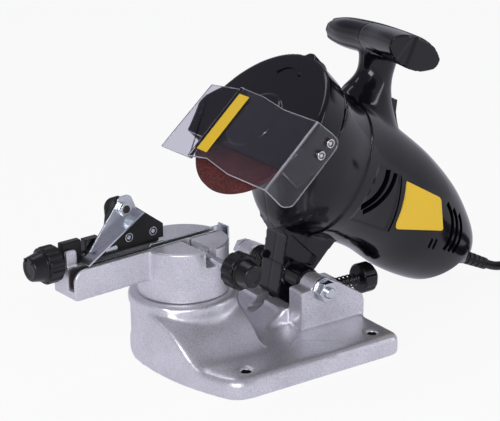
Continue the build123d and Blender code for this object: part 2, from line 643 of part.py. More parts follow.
def switch_parts():
    seat = switch_seat()
    case = Pos(-6, 0, 0) * Box(12, 15.4, 27.4) - Box(16, 11.4, 23.4)
    save("switch_body", seat * case)
    outline = Plane.XZ * Polyline((-4, -10.6), (2.4, -10.6), (1.2, 0), (4.4, 10.6), (-4, 10.6), close=True)
    rocker = Pos(0, -5.4, 0) * extrude(make_face(outline), amount=10.8, dir=(0, 1, 0))
    save("switch_rocker", seat * (rocker + Rot(90, 0, 0) * Cylinder(1.5, 11.3)))


# ---------------------------------------------------------------- cord

def bend_radii(points):
    """Bend radius at each inner point: most of the shorter run, shared with the next bend."""
    radii = []
    for before, here, after in zip(points, points[1:], points[2:]):
        first = Vector(here) - Vector(before)
        second = Vector(after) - Vector(here)
        half_turn = radians(first.get_angle(second) / 2)
        radii.append(0.45 * min(first.length, second.length) * cos(half_turn) / sin(half_turn))
    return radii


def tube(points, radius):
    path = FilletPolyline(*points, radius=bend_radii(points))
    return sweep(Plane(origin=path @ 0, z_dir=path % 0) * Circle(radius), path)


coil_centre = Vector(306, -65.5, 0)
coil_middle = 42.0           # radius at the middle of the turns
coil_rows = 3                # turns side by side; two layers
cord_points = [
    (266.0, -9.3, 7.6), (275.5, -10.6, 3.7), (284.5, -12.9, 3.7), (293.5, -15.6, 3.7), (303.0, -16.5, 3.7),
]


def cord_parts():
    sleeve = Plane(origin=relief_start - relief_dir * 6, z_dir=relief_dir).location
    length = (Vector(cord_points[0]) - relief_start).length + 6 - face_gap
    cone = Cone(5.6, 4.5, length, align=low_end)
    groove = Cylinder(7, 1.6, align=low_end) - Cylinder(3.9, 1.6, align=low_end)
    cone -= [Pos(0, 0, 12 + 5 * i) * groove for i in range(4)]
    save("strain_relief", sleeve * cone)
    save("power_cord", tube(cord_points, cord_radius))
    half_width = coil_rows * cord_radius
    height = 4 * cord_radius
    coil = ring("z", tuple(coil_centre + Vector(0, 0, cord_z - cord_radius)), height,
                coil_middle + half_width, coil_middle - half_width)
    save("cord_coil", coil)
    plug_parts(coil_centre + Vector(-18, -coil_middle, cord_z - cord_radius + height + 0.1))


def plug_parts(seat):
    """Two-pin moulded plug lying on the coil, its pins towards -x."""
    sections = []
    for x, wide, high in ((0, 17.6, 13), (9, 17.6, 13), (20, 12, 10.5), (34, 5.2, 5.2)):
        plane = Plane(origin=seat + Vector(x, 0, 13), x_dir=(0, 1, 0), z_dir=(1, 0, 0))
        sections.append(plane * Ellipse(wide, high))
    save("plug", loft(sections))
    pins = [along("x", (seat.X, seat.Y + s * 9.5, seat.Z + 13), -19, 2.4) for s in (-1, 1)]
    save("plug_pins", *[chamfer(p.edges().group_by(Axis.X)[0], 0.8) for p in pins])


def build():
    save("base_casting", base_casting())
    pivot_parts()
    depth_parts()
    vise_lock()
    place_vise("vise_casting", vise_casting())
    rails()
    clamp_parts()
    chain_stop()
    pawl_parts()
    housing_parts()
    housing_screws()
    guard_parts()
    badge_plate()
    spindle_parts()
    armature()
    stator()
    brushes()
    switch_parts()
    cord_parts()


build()
os.makedirs("parts", exist_ok=True)
for name, shape in saved.items():
    export_step(Pos(*(-bench_centre)) * shape, f"parts/{name}.step")
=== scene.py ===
import json
import math
import bpy
import bmesh
from mathutils import Matrix, Vector, geometry


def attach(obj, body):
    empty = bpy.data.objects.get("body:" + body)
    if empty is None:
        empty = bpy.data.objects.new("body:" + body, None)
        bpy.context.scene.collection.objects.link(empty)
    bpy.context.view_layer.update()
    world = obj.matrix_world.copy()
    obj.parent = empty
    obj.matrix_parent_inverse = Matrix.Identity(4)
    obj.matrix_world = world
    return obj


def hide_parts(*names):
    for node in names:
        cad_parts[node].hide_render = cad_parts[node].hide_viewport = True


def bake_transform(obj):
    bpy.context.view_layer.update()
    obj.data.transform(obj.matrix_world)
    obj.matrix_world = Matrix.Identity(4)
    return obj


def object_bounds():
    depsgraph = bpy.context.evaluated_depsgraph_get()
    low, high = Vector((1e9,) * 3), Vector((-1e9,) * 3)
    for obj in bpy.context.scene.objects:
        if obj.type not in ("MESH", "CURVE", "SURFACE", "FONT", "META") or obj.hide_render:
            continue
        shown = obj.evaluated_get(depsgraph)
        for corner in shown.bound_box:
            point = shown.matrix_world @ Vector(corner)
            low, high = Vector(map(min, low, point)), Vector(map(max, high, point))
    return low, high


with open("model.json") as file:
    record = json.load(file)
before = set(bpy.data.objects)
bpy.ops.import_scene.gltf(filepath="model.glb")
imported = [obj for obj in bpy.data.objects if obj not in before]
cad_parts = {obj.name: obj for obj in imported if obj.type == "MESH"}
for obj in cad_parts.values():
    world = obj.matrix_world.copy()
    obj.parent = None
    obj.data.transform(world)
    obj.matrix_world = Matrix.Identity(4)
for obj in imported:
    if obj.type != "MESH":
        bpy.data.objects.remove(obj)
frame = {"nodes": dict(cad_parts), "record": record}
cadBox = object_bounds()
scene = bpy.context.scene
nodes = frame["nodes"]
nodeBody = {n: b for b, members in frame["record"]["behaviour"]["bodies"].items() for n in members}
print("frame loaded")


# viseAxis is in metres, and sizes below are millimetres of a place. The bench place is measured from the vise
# axis, the head place from the middle of the wheel: how far behind it, up across the head, and sideways
# towards the user.
viseAxis = Vector((-0.052, 0.074, 0))
benchPlace = Matrix.Translation(viseAxis) @ Matrix.Scale(0.001, 4)
viseTurn = math.radians(6)
visePlace = benchPlace @ Matrix.Rotation(viseTurn, 4, "Z")
wheelMiddle = (64, 0, 147.3)
headLean = math.radians(47)
headPlace = benchPlace @ Matrix.Translation(wheelMiddle) @ Matrix((
    (math.cos(headLean), math.sin(headLean), 0, 0),
    (0, 0, -1, 0),
    (-math.sin(headLean), math.cos(headLean), 0, 0),
    (0, 0, 0, 1)))


cameraFacts = {
    # degrees round, above and about the line of sight; metres away; focal length and frame in pixels
    "turn": 33.5, "rise": 18.82, "roll": -0.57, "away": 0.929, "focal": 1400, "width": 500, "height": 421,
    # the spot aimed at and the pixel where it is seen; the sensor's width in millimetres
    "aim": (0, 0, 81.1), "aimPixel": (182.1, 238.6), "sensor": 36,
}


def makeCamera(facts):
    turn, rise, roll = (math.radians(facts[k]) for k in ("turn", "rise", "roll"))
    right = Vector((math.cos(turn), -math.sin(turn), 0))
    ahead = Vector((math.sin(turn) * math.cos(rise), math.cos(turn) * math.cos(rise), -math.sin(rise)))
    up = right.cross(ahead)
    right, up = right * math.cos(roll) + up * math.sin(roll), up * math.cos(roll) - right * math.sin(roll)
    across = (facts["aimPixel"][0] - facts["width"] / 2) / facts["focal"]
    above = (facts["height"] / 2 - facts["aimPixel"][1]) / facts["focal"]
    spot = benchPlace @ Vector(facts["aim"]) - (ahead + right * across + up * above) * facts["away"]
    data = bpy.data.cameras.new("camera")
    data.lens = facts["sensor"] * facts["focal"] / facts["width"]
    data.sensor_width = facts["sensor"]
    data.clip_start, data.clip_end = 0.05, 30
    camera = bpy.data.objects.new("camera", data)
    camera.matrix_world = Matrix.Translation(spot) @ Matrix((right, up, -ahead)).transposed().to_4x4()
    scene.collection.objects.link(camera)
    scene.camera = camera


makeCamera(cameraFacts)
print("camera placed")


cord = {
    # real length in metres, thickness, and how many metres along it the shares for following the tilting head
    # reach
    "length": 1.5, "diameter": 7.0, "follow": 0.16,
    "exit": (260.7, -8.56, 10.0),
    "run": ((266.0, -9.3, 7.6), (275.5, -10.6, 3.7), (284.5, -12.9, 3.7), (293.5, -15.6, 3.7),
            (303.0, -16.5, 3.7)),
    # the coil's middle, its middle row, the width of a row, and the angle, pitch and count of its points
    "coilCentre": (306, -65.5), "middle": 42.0, "row": 7.0, "startAngle": 93.5, "stepAngle": 24, "steps": 81,
    # degrees turned and the row there: three rows inwards on the bench, then outwards on top of them
    "rows": ((0, 1), (310, 1), (360, 0), (670, 0), (720, -1), (1290, -1), (1340, 0), (1650, 0), (1700, 1),
             (2000, 1)),
    # height of the first layer in thicknesses, where the second starts, and the rise to the plug
    "lowest": 0.53, "layerAt": 980, "plugAt": 1905, "rampTurn": 50, "plugRise": 9.4,
    # last points before the plug, from the coil's middle
    "tail": ((14, -42, 23.2), (6, -42, 24.0)),
}


def coilRadius(facts, turned):
    for (a, low), (b, high) in zip(facts["rows"], facts["rows"][1:]):
        if a <= turned <= b:
            return facts["middle"] + facts["row"] * (low + (high - low) * (turned - a) / (b - a))


def coilHeight(facts, turned):
    climb = min(max((turned - facts["layerAt"]) / facts["rampTurn"], 0), 1)
    rise = min(max((turned - facts["plugAt"]) / facts["rampTurn"], 0), 1)
    return facts["diameter"] * (facts["lowest"] + climb) + facts["plugRise"] * rise


def makeCord(facts):
    points = [facts["exit"], *facts["run"]]
    middle = Vector((*facts["coilCentre"], 0))
    for step in range(1, facts["steps"] + 1):
        turned = step * facts["stepAngle"]
        angle = math.radians(facts["startAngle"] - turned)
        radius = coilRadius(facts, turned)
        height = coilHeight(facts, turned)
        points.append(middle + Vector((radius * math.cos(angle), radius * math.sin(angle), height)))
    points += [middle + Vector(spot) for spot in facts["tail"]]
    curve = bpy.data.curves.new("cordLine", "CURVE")
    curve.dimensions = "3D"
    spline = curve.splines.new("NURBS")
    spline.points.add(len(points) - 1)
    for spot, point in zip(spline.points, points):
        spot.co = (*(benchPlace @ Vector(point)), 1)
    spline.order_u = 3
    spline.use_endpoint_u = True
    spline.resolution_u = 6
    holder = bpy.data.objects.new("cordLine", curve)
    scene.collection.objects.link(holder)
    line = bpy.data.meshes.new_from_object(holder)
    path = [v.co.copy() for v in line.vertices]
    curve.bevel_depth = facts["diameter"] / 2000
    curve.bevel_resolution = 4
    curve.use_fill_caps = True
    skin = bpy.data.meshes.new_from_object(holder)
    bpy.data.objects.remove(holder)
    lead = bpy.data.objects.new("powerCord", skin)
    scene.collection.objects.link(lead)
    return lead, path


lead, leadPath = makeCord(cord)
print("cord laid")


def newGroup(name, **inputs):
    # a shader group that takes these inputs, colours or numbers, and gives colour, roughness and height
    tree = bpy.data.node_groups.new(name, "ShaderNodeTree")
    for label, value in inputs.items():
        kind = "NodeSocketColor" if isinstance(value, tuple) else "NodeSocketFloat"
        tree.interface.new_socket(label, in_out="INPUT", socket_type=kind).default_value = value
    for label, kind in (("Color", "Color"), ("Roughness", "Float"), ("Height", "Float")):
        tree.interface.new_socket(label, in_out="OUTPUT", socket_type="NodeSocket" + kind)
    return tree, tree.nodes.new("NodeGroupInput").outputs, tree.nodes.new("NodeGroupOutput").inputs


def feed(tree, socket, value):
    # a socket gets a link or a plain value
    if isinstance(value, bpy.types.NodeSocket):
        tree.links.new(value, socket)
    else:
        socket.default_value = value


def addNode(tree, kind, settings=None, **values):
    made = tree.nodes.new(kind)
    for key, value in (settings or {}).items():
        setattr(made, key, value)
    for key, value in values.items():
        feed(tree, made.inputs[key.replace("_", " ")], value)
    return made


def objectPlace(tree, stretch=(1, 1, 1), turn=(0, 0, 0)):
    source = addNode(tree, "ShaderNodeTexCoord")
    made = addNode(tree, "ShaderNodeMapping", Vector=source.outputs["Object"], Scale=stretch, Rotation=turn)
    return made.outputs[0]


def noise(tree, place, scale, detail=3.0, rough=0.5):
    made = addNode(tree, "ShaderNodeTexNoise", Vector=place, Scale=scale, Detail=detail, Roughness=rough)
    return made.outputs["Fac"]


def cells(tree, place, scale):
    # small cells: a random level for each, and the distance from its middle
    made = addNode(tree, "ShaderNodeTexVoronoi", Vector=place, Scale=scale)
    level = addNode(tree, "ShaderNodeSeparateColor", Color=made.outputs["Color"]).outputs[0]
    return level, made.outputs["Distance"]


def spread(tree, value, low, high, start=0.0, end=1.0):
    made = addNode(tree, "ShaderNodeMapRange", Value=value)
    for key, setting in (("From Min", low), ("From Max", high), ("To Min", start), ("To Max", end)):
        made.inputs[key].default_value = setting
    return made.outputs[0]


def blendColour(tree, amount, first, second, how="MIX"):
    made = tree.nodes.new("ShaderNodeMix")
    made.data_type = "RGBA"
    made.blend_type = how
    # the mix node keeps its factor first and its colours at inputs 6 and 7
    for number, value in ((0, amount), (6, first), (7, second)):
        feed(tree, made.inputs[number], value)
    return made.outputs[2]


def calculate(tree, how, first, second):
    made = tree.nodes.new("ShaderNodeMath")
    made.operation = how
    for socket, value in zip(made.inputs, (first, second)):
        feed(tree, socket, value)
    return made.outputs[0]


def sparklePaint():
    # hammered aluminium paint: fine lumps with bright flakes
    tree, inside, outside = newGroup(
        "sparklePaint", Paint=(0.4, 0.4, 0.43, 1), Flake=(0.9, 0.9, 0.95, 1), Scale=900.0, Gloss=0.35)
    place = objectPlace(tree)
    lumps = noise(tree, place, inside["Scale"], 2.0, 0.6)
    flakes = cells(tree, place, calculate(tree, "MULTIPLY", inside["Scale"], 1.7))[0]
    bright = spread(tree, flakes, 0.8, 1.0)
    dark = spread(tree, lumps, 0.32, 0.5)
    clouds = spread(tree, noise(tree, place, 45.0, 2.0), 0.3, 0.7, 0.92, 1.06)
    shaded = blendColour(tree, 1.0, inside["Paint"], (0.7, 0.7, 0.72, 1), "MULTIPLY")
    colour = blendColour(tree, dark, shaded, inside["Paint"])
    colour = blendColour(tree, bright, colour, inside["Flake"])
    shade = addNode(tree, "ShaderNodeCombineColor", Red=clouds, Green=clouds, Blue=clouds).outputs[0]
    colour = blendColour(tree, 1.0, colour, shade, "MULTIPLY")
    tree.links.new(colour, outside["Color"])
    rough = calculate(tree, "ADD", inside["Gloss"], spread(tree, lumps, 0.3, 0.7, -0.06, 0.1))
    tree.links.new(rough, outside["Roughness"])
    tree.links.new(lumps, outside["Height"])
    return tree


def mouldedSkin():
    # moulded plastic: faint clouds, hairline scuffs, dust caught in the grain; the guard's edges use the same
    # blend, strong and whitish, as a painted highlight
    tree, inside, outside = newGroup(
        "mouldedSkin", Tint=(0.01, 0.01, 0.012, 1), Dust=(0.05, 0.05, 0.055, 1),
        Gloss=0.15, Grain=700.0, Amount=0.15)
    place = objectPlace(tree)
    clouds = noise(tree, place, 30.0, 3.0)
    grain = noise(tree, place, inside["Grain"], 2.0)
    streaks = noise(tree, objectPlace(tree, (18, 240, 60), (0.4, 0.2, 0.7)), 9.0, 4.0, 0.7)
    scuff = spread(tree, streaks, 0.66, 0.74)
    specks = spread(tree, noise(tree, place, 1500.0, 1.0), 0.70, 0.78)
    # this dust mask also lays the whitish painted highlight on the guard's edges
    dust = calculate(tree, "ADD", spread(tree, clouds, 0.35, 0.75), calculate(tree, "MULTIPLY", specks, 0.6))
    dustAndHighlight = calculate(tree, "MULTIPLY", inside["Amount"], dust)
    tree.links.new(blendColour(tree, dustAndHighlight, inside["Tint"], inside["Dust"]), outside["Color"])
    rough = calculate(tree, "ADD", inside["Gloss"], spread(tree, clouds, 0.3, 0.7, -0.03, 0.05))
    rough = calculate(tree, "ADD", rough, calculate(tree, "MULTIPLY", scuff, 0.12))
    tree.links.new(rough, outside["Roughness"])
    tree.links.new(calculate(tree, "ADD", grain, calculate(tree, "MULTIPLY", scuff, -0.5)), outside["Height"])
    return tree


def platedSteel():
    # zinc plating or bare steel: clouded tint and fine drawn lines
    tree, inside, outside = newGroup(
        "platedSteel", Cool=(0.55, 0.58, 0.62, 1), Warm=(0.62, 0.6, 0.55, 1), Gloss=0.25, Lines=12.0)
    place = objectPlace(tree)
    clouds = spread(tree, noise(tree, place, 110.0, 3.0), 0.35, 0.65)
    drawn = noise(tree, objectPlace(tree, (2.0, 60, 60)), inside["Lines"], 3.0, 0.7)
    pits = spread(tree, noise(tree, place, 1300.0, 1.0), 0.66, 0.76)
    colour = blendColour(tree, clouds, inside["Cool"], inside["Warm"])
    colour = blendColour(tree, calculate(tree, "MULTIPLY", pits, 0.22), colour, (0.25, 0.25, 0.26, 1))
    tree.links.new(colour, outside["Color"])
    rough = calculate(tree, "ADD", inside["Gloss"], spread(tree, drawn, 0.3, 0.7, -0.02, 0.03))
    tree.links.new(rough, outside["Roughness"])
    tree.links.new(drawn, outside["Height"])
    return tree


def grit():
    # bonded grains of abrasive
    tree, inside, outside = newGroup(
        "grit", Bond=(0.1, 0.025, 0.022, 1), Grain=(0.25, 0.1, 0.08, 1), Scale=1800.0)
    place = objectPlace(tree)
    grains, distance = cells(tree, place, inside["Scale"])
    light = spread(tree, grains, 0.3, 1.0)
    stain = spread(tree, noise(tree, place, 60.0, 3.0), 0.3, 0.75, 0.0, 0.4)
    colour = blendColour(tree, light, inside["Bond"], inside["Grain"])
    colour = blendColour(tree, stain, colour, (0.04, 0.018, 0.016, 1))
    tree.links.new(colour, outside["Color"])
    tree.links.new(spread(tree, light, 0.0, 1.0, 0.85, 0.55), outside["Roughness"])
    tree.links.new(distance, outside["Height"])
    return tree


def screwThread():
    # turned steel with the ridges of a thread across its axis; the valleys between the ridges are painted near
    # black as painted shade
    tree, inside, outside = newGroup("screwThread", Steel=(0.3, 0.3, 0.33, 1), Pitch=1.25)
    place = objectPlace(tree)
    scale = calculate(tree, "DIVIDE", 318.3, inside["Pitch"])
    across = {"bands_direction": "X"}
    ridges = addNode(tree, "ShaderNodeTexWave", across, Vector=place, Scale=scale, Distortion=0.0)
    ridge = ridges.outputs["Fac"]
    grease = spread(tree, noise(tree, place, 400.0, 2.0), 0.4, 0.7, 0.0, 0.5)
    # near black in the thread's valleys: painted shade
    colour = blendColour(tree, ridge, (0.01, 0.01, 0.011, 1), inside["Steel"])
    tree.links.new(blendColour(tree, grease, colour, (0.02, 0.018, 0.016, 1)), outside["Color"])
    tree.links.new(spread(tree, grease, 0.0, 0.5, 0.3, 0.45), outside["Roughness"])
    tree.links.new(ridge, outside["Height"])
    return tree


groups = {
    "sparkle": sparklePaint(), "skin": mouldedSkin(), "steel": platedSteel(),
    "grit": grit(), "thread": screwThread(),
}


finishes = {}


def makeFinish(name, group, bump, depth=0.0001, **values):
    # values go to the group's inputs where it has them, and else to the shader's own sockets
    material = bpy.data.materials.new(name)
    material.use_nodes = True
    tree = material.node_tree
    principled = tree.nodes["Principled BSDF"]
    effect = tree.nodes.new("ShaderNodeGroup")
    effect.node_tree = groups[group]
    for key, value in values.items():
        target = effect if key in effect.inputs else principled
        setting = (*value, 1) if isinstance(value, tuple) else value
        target.inputs[key.replace("_", " ")].default_value = setting
    tree.links.new(effect.outputs["Color"], principled.inputs["Base Color"])
    tree.links.new(effect.outputs["Roughness"], principled.inputs["Roughness"])
    relief = addNode(tree, "ShaderNodeBump", Strength=bump, Distance=depth, Height=effect.outputs["Height"])
    tree.links.new(relief.outputs[0], principled.inputs["Normal"])
    finishes[name] = material


makeFinish("castSilver", "sparkle", bump=0.34, depth=0.00014, Paint=(0.74, 0.73, 0.78),
           Flake=(0.97, 0.97, 1.0), Scale=1700.0, Gloss=0.33, Metallic=0.75)
makeFinish("zinc", "steel", bump=0.005, Cool=(0.58, 0.61, 0.66), Warm=(0.66, 0.65, 0.62), Gloss=0.24,
           Lines=14.0, Metallic=1.0)
makeFinish("brightZinc", "steel", bump=0.004, Cool=(0.66, 0.70, 0.75), Warm=(0.72, 0.73, 0.74), Gloss=0.24,
           Lines=12.0, Metallic=1.0)
makeFinish("springSteel", "steel", bump=0.02, Cool=(0.05, 0.05, 0.055), Warm=(0.08, 0.07, 0.06), Gloss=0.3,
           Lines=10.0, Metallic=1.0)
makeFinish("chrome", "steel", bump=0.01, Cool=(0.8, 0.8, 0.83), Warm=(0.78, 0.74, 0.68), Gloss=0.1,
           Lines=10.0, Metallic=1.0)
makeFinish("groundSteel", "steel", bump=0.15, Cool=(0.5, 0.5, 0.53), Warm=(0.56, 0.55, 0.53), Gloss=0.3,
           Lines=30.0, Metallic=1.0)
makeFinish("coreSteel", "steel", bump=0.3, depth=0.0002, Cool=(0.16, 0.16, 0.18), Warm=(0.22, 0.18, 0.14),
           Gloss=0.42, Lines=60.0, Metallic=0.9)
makeFinish("copper", "steel", bump=0.4, depth=0.0004, Cool=(0.62, 0.26, 0.12), Warm=(0.7, 0.33, 0.16),
           Gloss=0.3, Lines=60.0, Metallic=0.95)
makeFinish("glossBlack", "skin", bump=0.05, Tint=(0.004, 0.004, 0.006), Dust=(0.014, 0.014, 0.018),
           Gloss=0.13, Grain=600.0, Amount=0.12, Specular_IOR_Level=0.42, Coat_Weight=0.05,
           Coat_Roughness=0.05)
makeFinish("satinBlack", "skin", bump=0.15, Tint=(0.0035, 0.0035, 0.004), Dust=(0.02, 0.02, 0.02),
           Gloss=0.30, Grain=1100.0, Amount=0.12)
makeFinish("blackPaint", "skin", bump=0.2, Tint=(0.004, 0.004, 0.0045), Dust=(0.02, 0.02, 0.02), Gloss=0.33,
           Grain=1400.0, Amount=0.1, Specular_IOR_Level=0.4)
makeFinish("fanGrey", "skin", bump=0.15, Tint=(0.05, 0.05, 0.052), Dust=(0.14, 0.14, 0.14), Gloss=0.45,
           Grain=900.0, Amount=0.3)
makeFinish("carbon", "skin", bump=0.3, depth=0.0002, Tint=(0.02, 0.02, 0.02), Dust=(0.07, 0.07, 0.07),
           Gloss=0.6, Grain=1500.0, Amount=0.4)
makeFinish("cordRubber", "skin", bump=0.2, Tint=(0.009, 0.009, 0.0095), Dust=(0.05, 0.05, 0.05), Gloss=0.42,
           Grain=1300.0, Amount=0.2)
makeFinish("yellowFilm", "skin", bump=0.08, Tint=(0.87, 0.56, 0.022), Dust=(0.8, 0.55, 0.1), Gloss=0.22,
           Grain=900.0, Amount=0.25)
makeFinish("redGrit", "grit", bump=0.5, depth=0.0003, Bond=(0.10, 0.018, 0.018), Grain=(0.2, 0.05, 0.045),
           Scale=1500.0, Specular_IOR_Level=0.3)
makeFinish("clearGuard", "skin", bump=0.005, Tint=(0.88, 0.88, 0.91), Dust=(0.83, 0.83, 0.86), Gloss=0.02,
           Grain=500.0, Amount=0.2, Transmission_Weight=1.0, IOR=1.4, Specular_IOR_Level=0.35)
# the guard's edges: a strong whitish blend that is a painted highlight
makeFinish("guardEdge", "skin", bump=0.2, depth=0.0002, Tint=(0.62, 0.62, 0.66), Dust=(0.9, 0.9, 0.93),
           Gloss=0.12, Grain=300.0, Amount=0.9, Transmission_Weight=0.45, IOR=1.45)
makeFinish("threaded", "thread", bump=0.9, depth=0.0006, Steel=(0.3, 0.3, 0.33), Pitch=1.25, Metallic=1.0)
print("materials made")


def pieceName(node):
    first, *rest = node.split("_")
    return first + "".join(word.capitalize() for word in rest) + "Look"


def showPiece(mesh, node, finish, sharp=50, between=None):
    # the finished piece that stands for a node, and rides with its body, or stays where it is when it lies
    # between two
    marks = [min(face.material_index, len(finish.split()) - 1) for face in mesh.polygons]
    mesh.materials.clear()
    for each in finish.split():
        mesh.materials.append(finishes[each])
    mesh.polygons.foreach_set("material_index", marks)
    mesh.shade_smooth()
    mesh.set_sharp_from_angle(angle=math.radians(sharp))
    mesh.name = pieceName(node)
    piece = bpy.data.objects.new(pieceName(node), mesh)
    scene.collection.objects.link(piece)
    if between:
        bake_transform(piece)
    else:
        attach(piece, nodeBody[node])
    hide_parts(node)
    return piece


def mergedCopy(node):
    bm = bmesh.new()
    bm.from_mesh(nodes[node].data)
    bmesh.ops.remove_doubles(bm, verts=bm.verts, dist=0.000002)
    return bm


def crispCopy(node, finish, edge, detail=None, edgeSlot=-1, between=None):
    # the node with its edges broken by a small bevel
    bm = mergedCopy(node)
    bmesh.ops.dissolve_limit(bm, angle_limit=math.radians(1), verts=bm.verts, edges=bm.edges)
    bm.normal_update()
    if detail:
        detail(bm)
    corners = [e for e in bm.edges if len(e.link_faces) == 2 and e.calc_face_angle(0) > math.radians(35)]
    if edge:
        bmesh.ops.bevel(bm, geom=corners, offset=edge / 1000, offset_type="OFFSET", segments=2, profile=0.5,
                        affect="EDGES", clamp_overlap=False, material=edgeSlot)
    mesh = bpy.data.meshes.new("crisp")
    bm.to_mesh(mesh)
    bm.free()
    piece = showPiece(mesh, node, finish, between=between)
    even = piece.modifiers.new("even", "WEIGHTED_NORMAL")
    even.keep_sharp = True


def axesPlace(middle, along, across):
    along, across = Vector(along), Vector(across)
    turn = Matrix((along, across, along.cross(across))).transposed().to_4x4()
    return Matrix.Translation(middle) @ turn


# sideView: along the bench, up, towards the user. wheelView: up across the head, towards the user, behind.
sideView = benchPlace @ axesPlace((0, 0, 0), (1, 0, 0), (0, 0, 1))
wheelView = headPlace @ axesPlace((0, 0, 0), (0, 1, 0), (0, 0, 1))


def easeThrough(a, b, c, d, part):
    # a value between b and c on the smooth curve through all four
    return b + 0.5 * part * (c - a + part * (2 * a - 5 * b + 4 * c - d + part * (3 * (b - c) + d - a)))


def moreStations(stations, count=6):
    # stations in between, so that a skin through them runs smoothly
    made = []
    for i in range(len(stations) - 1):
        near = [stations[min(max(i + k, 0), len(stations) - 1)] for k in (-1, 0, 1, 2)]
        for step in range(count):
            made.append([easeThrough(*values, step / count) for values in zip(*near)])
    return made + [list(stations[-1])]


# A function whose name starts with add puts a closed solid into a bmesh, in millimetres of its place.
roundSides = 96


def addOvals(bm, places):
    # closed skin through oval rings, each a unit circle stretched and placed by a matrix
    loops = []
    for place in places:
        ring = bmesh.ops.create_circle(bm, segments=roundSides, radius=1)["verts"]
        bmesh.ops.transform(bm, matrix=place, verts=ring)
        loops.append(list(dict.fromkeys(e for v in ring for e in v.link_edges)))
    for near, far in zip(loops, loops[1:]):
        bmesh.ops.bridge_loops(bm, edges=near + far)
    for loop in (loops[0], loops[-1]):
        bmesh.ops.holes_fill(bm, edges=loop)


def rectangle(left, low, right, high):
    return ((left, low), (right, low), (right, high), (left, high))


def addPrism(bm, outline, low, high, place):
    corners = [bm.verts.new((x, y, low)) for x, y in outline]
    made = bmesh.ops.extrude_face_region(bm, geom=[bm.faces.new(corners)])["geom"]
    top = [v for v in made if isinstance(v, bmesh.types.BMVert)]
    bmesh.ops.translate(bm, verts=top, vec=(0, 0, high - low))
    bmesh.ops.transform(bm, matrix=place, verts=corners + top)


def addRod(bm, spot, low, high, radius, place):
    middle = Matrix.Translation((*spot, (low + high) / 2))
    bmesh.ops.create_cone(bm, cap_ends=True, segments=roundSides, radius1=radius, radius2=radius,
                          depth=high - low, matrix=place @ middle)


def addLathe(bm, outline, middle, place, steps=160):
    # ring or disc: a closed outline of radius and height spun about z
    known = set(bm.verts)
    corners = [bm.verts.new((middle[0] + r, middle[1], z)) for r, z in outline]
    edges = [bm.edges.new(pair) for pair in zip(corners, corners[1:] + corners[:1])]
    bmesh.ops.spin(bm, geom=corners + edges, cent=(*middle, 0), axis=(0, 0, 1), angle=math.tau, steps=steps,
                   use_merge=True)
    bmesh.ops.transform(bm, matrix=place, verts=[v for v in bm.verts if v not in known])


def addArc(bm, start, middle, end, wide, low, high, place, steps=14):
    # curved strip: a short edge spun about the middle of the arc, then given its depth
    a, b, c = (Vector((*p, 0)) for p in (start, middle, end))
    up = Vector((0, 0, 1))
    first, second = (a + b) / 2, (b + c) / 2
    halvings = (first, first + (b - a).cross(up), second, second + (c - b).cross(up))
    centre = geometry.intersect_line_line(*halvings)[0]
    turn = (a - centre).xy.angle_signed((c - centre).xy)
    outward = (a - centre).normalized() * wide / 2
    ends = [bm.verts.new(a - outward), bm.verts.new(a + outward)]
    edge = bm.edges.new(ends)
    bmesh.ops.spin(bm, geom=[edge, *ends], cent=centre, axis=up, angle=-turn, steps=steps)
    made = bmesh.ops.extrude_face_region(bm, geom=list(bm.faces))["geom"]
    top = [v for v in made if isinstance(v, bmesh.types.BMVert)]
    bmesh.ops.translate(bm, verts=bm.verts, vec=(0, 0, low))
    bmesh.ops.translate(bm, verts=top, vec=(0, 0, high - low))
    bmesh.ops.transform(bm, matrix=place, verts=bm.verts)


def solid(maker, *facts):
    # what maker adds, as a mesh of its own
    bm = bmesh.new()
    maker(bm, *facts)
    bmesh.ops.remove_doubles(bm, verts=bm.verts, dist=0.000001)
    bmesh.ops.recalc_face_normals(bm, faces=bm.faces)
    mesh = bpy.data.meshes.new("solid")
    bm.to_mesh(mesh)
    bm.free()
    return mesh


def finished(mesh, dress):
    # the mesh after the modifiers that dress puts on it
    holder = bpy.data.objects.new("rough", mesh)
    scene.collection.objects.link(holder)
    tools = dress(holder)
    bpy.context.view_layer.update()
    done = bpy.data.meshes.new_from_object(holder.evaluated_get(bpy.context.evaluated_depsgraph_get()))
    for spare in [holder, *(tools or [])]:
        bpy.data.objects.remove(spare)
    return done


def carve(mesh, cutters, how="DIFFERENCE"):
    # the mesh with the cutters taken off it, or joined to it
    def dress(holder):
        tools = []
        for number, cutter in enumerate(cutters):
            tool = bpy.data.objects.new(f"tool{number}", cutter)
            scene.collection.objects.link(tool)
            cut = holder.modifiers.new(f"cut{number}", "BOOLEAN")
            cut.solver = "MANIFOLD"
            cut.operation = how
            cut.object = tool
            tools.append(tool)
        return tools
    return finished(mesh, dress)


def melted(mesh, voxel, rounds):
    # overlapping solids become one skin with eased corners
    def dress(holder):
        skin = holder.modifiers.new("skin", "REMESH")
        skin.mode = "VOXEL"
        skin.voxel_size = voxel / 1000
        ease = holder.modifiers.new("ease", "SMOOTH")
        ease.factor = 0.5
        ease.iterations = rounds
    return finished(mesh, dress)


def easeNear(bm, place, low, high, rounds):
    # heavier easing of what lies in a box of the place
    back = place.inverted()
    inside = [v for v in bm.verts if all(a <= b <= c for a, b, c in zip(low, back @ v.co, high))]
    for turn in range(rounds):
        bmesh.ops.smooth_vert(bm, verts=inside, factor=0.5, use_axis_x=True, use_axis_y=True, use_axis_z=True)


def pressSurface(bm, place, depth):
    # moves the skin in or out along its normals by what depth says at each spot
    back = place.inverted()
    bm.normal_update()
    moves = [(v, v.normal * depth(back @ v.co) / 1000) for v in bm.verts]
    for v, move in moves:
        v.co += move


